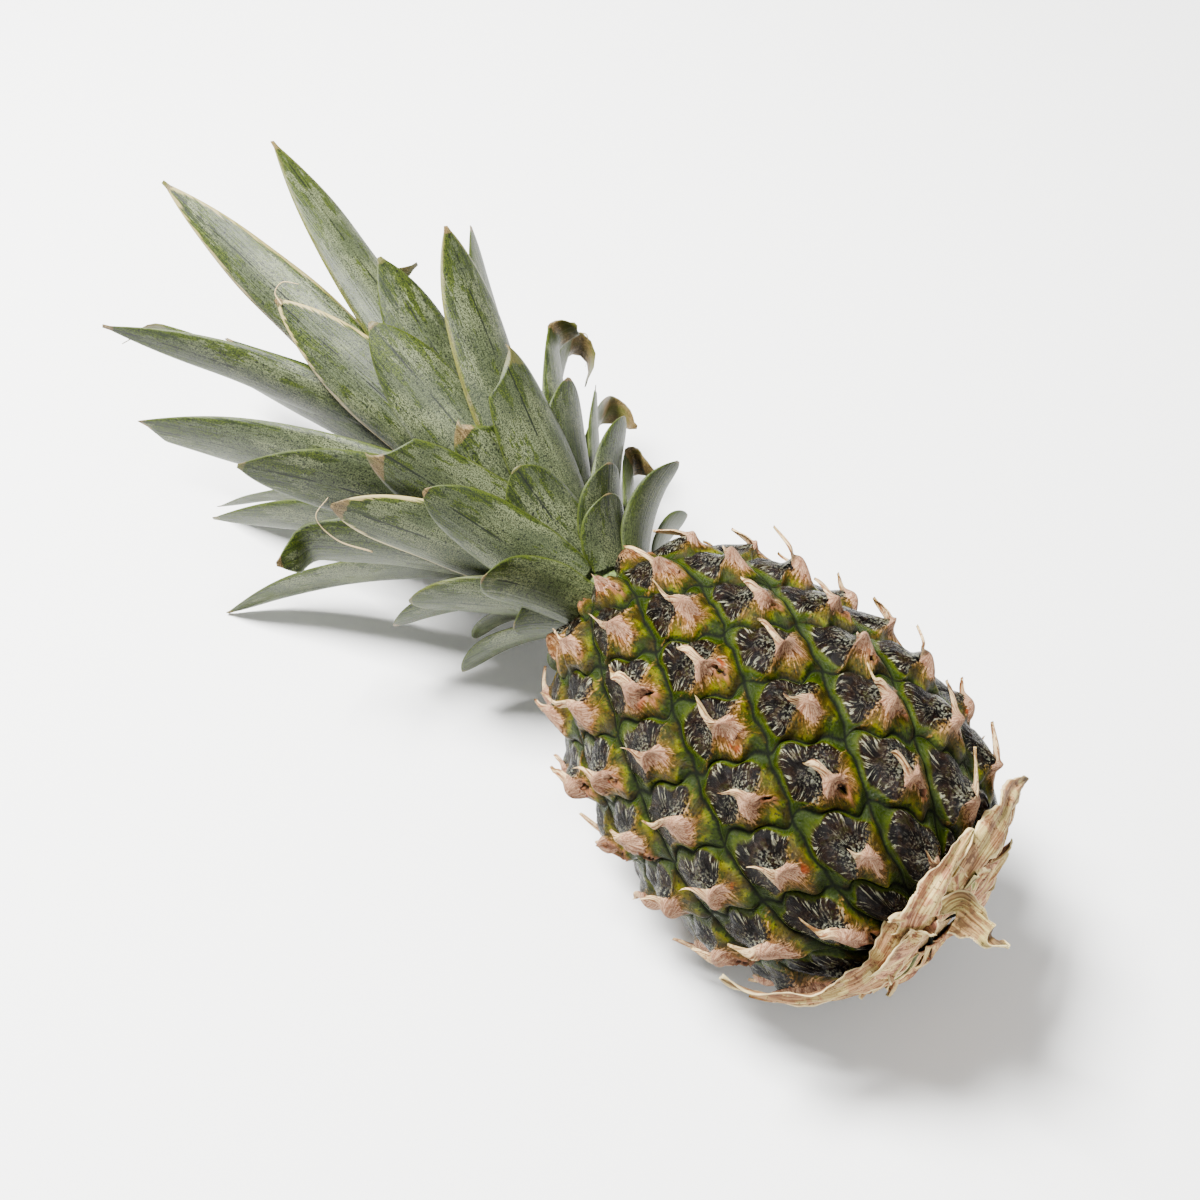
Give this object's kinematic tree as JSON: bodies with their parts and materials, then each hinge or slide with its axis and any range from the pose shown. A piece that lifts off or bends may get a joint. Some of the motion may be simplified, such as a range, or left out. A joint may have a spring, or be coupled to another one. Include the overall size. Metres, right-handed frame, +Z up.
{
  "type": "whole pineapple",
  "caption": "Whole pineapple lying on its side: a barrel-shaped fruit covered in eyes, a spiral crown of spiny leaves, and dry bracts round its cut stalk.",
  "frame": {"origin": "middle of the length and of the width, on the surface the pineapple lies on", "axes": "+Z up from the surface, +X along the length towards the cut stalk, so the crown points towards -X and a little up"},
  "size_m": [0.4523, 0.1974, 0.1504],
  "materials": {
    "fruit_skin": "tough waxy rind, olive green in the grooves and brown on the eyes, with a low gloss",
    "crown_leaf": "stiff fibrous leaf, green under a whitish waxy bloom",
    "dry_bract": "dry, papery and matt, cream to tan"
  },
  "bodies": {
    "root": {"fruit": "fruit_skin", "crown_leaf_01": "crown_leaf", "crown_leaf_02": "crown_leaf", "crown_leaf_03": "crown_leaf", "crown_leaf_04": "crown_leaf", "crown_leaf_05": "crown_leaf", "crown_leaf_06": "crown_leaf", "crown_leaf_07": "crown_leaf", "crown_leaf_08": "crown_leaf", "crown_leaf_09": "crown_leaf", "crown_leaf_10": "crown_leaf", "crown_leaf_11": "crown_leaf", "crown_leaf_12": "crown_leaf", "crown_leaf_13": "crown_leaf", "crown_leaf_14": "crown_leaf", "crown_leaf_15": "crown_leaf", "crown_leaf_16": "crown_leaf", "crown_leaf_17": "crown_leaf", "crown_leaf_18": "crown_leaf", "crown_leaf_19": "crown_leaf", "crown_leaf_20": "crown_leaf", "crown_leaf_21": "crown_leaf", "crown_leaf_22": "crown_leaf", "crown_leaf_23": "crown_leaf", "crown_leaf_24": "crown_leaf", "crown_leaf_25": "crown_leaf", "crown_leaf_26": "crown_leaf", "crown_leaf_27": "crown_leaf", "crown_leaf_28": "crown_leaf", "crown_leaf_29": "crown_leaf", "crown_leaf_30": "crown_leaf", "crown_leaf_31": "crown_leaf", "crown_leaf_32": "crown_leaf", "crown_leaf_33": "crown_leaf", "crown_leaf_34": "crown_leaf", "crown_leaf_35": "crown_leaf", "crown_leaf_36": "crown_leaf", "crown_leaf_37": "crown_leaf", "crown_leaf_38": "crown_leaf", "crown_leaf_39": "crown_leaf", "crown_leaf_40": "crown_leaf", "crown_leaf_41": "crown_leaf", "crown_leaf_42": "crown_leaf", "crown_leaf_43": "crown_leaf", "crown_leaf_44": "crown_leaf", "crown_leaf_45": "crown_leaf", "crown_leaf_46": "crown_leaf", "crown_leaf_47": "crown_leaf", "crown_leaf_48": "crown_leaf", "crown_leaf_49": "crown_leaf", "crown_leaf_50": "crown_leaf", "crown_leaf_51": "crown_leaf", "crown_leaf_52": "crown_leaf", "stalk_bract_long": "dry_bract", "stalk_bract_wrapping": "dry_bract", "stalk_bract_standing": "dry_bract", "stalk_bract_broad": "dry_bract", "stalk_bract_hooked": "dry_bract", "stalk_bract_far": "dry_bract", "stalk_bract_under": "dry_bract"}
  },
  "joints": []
}
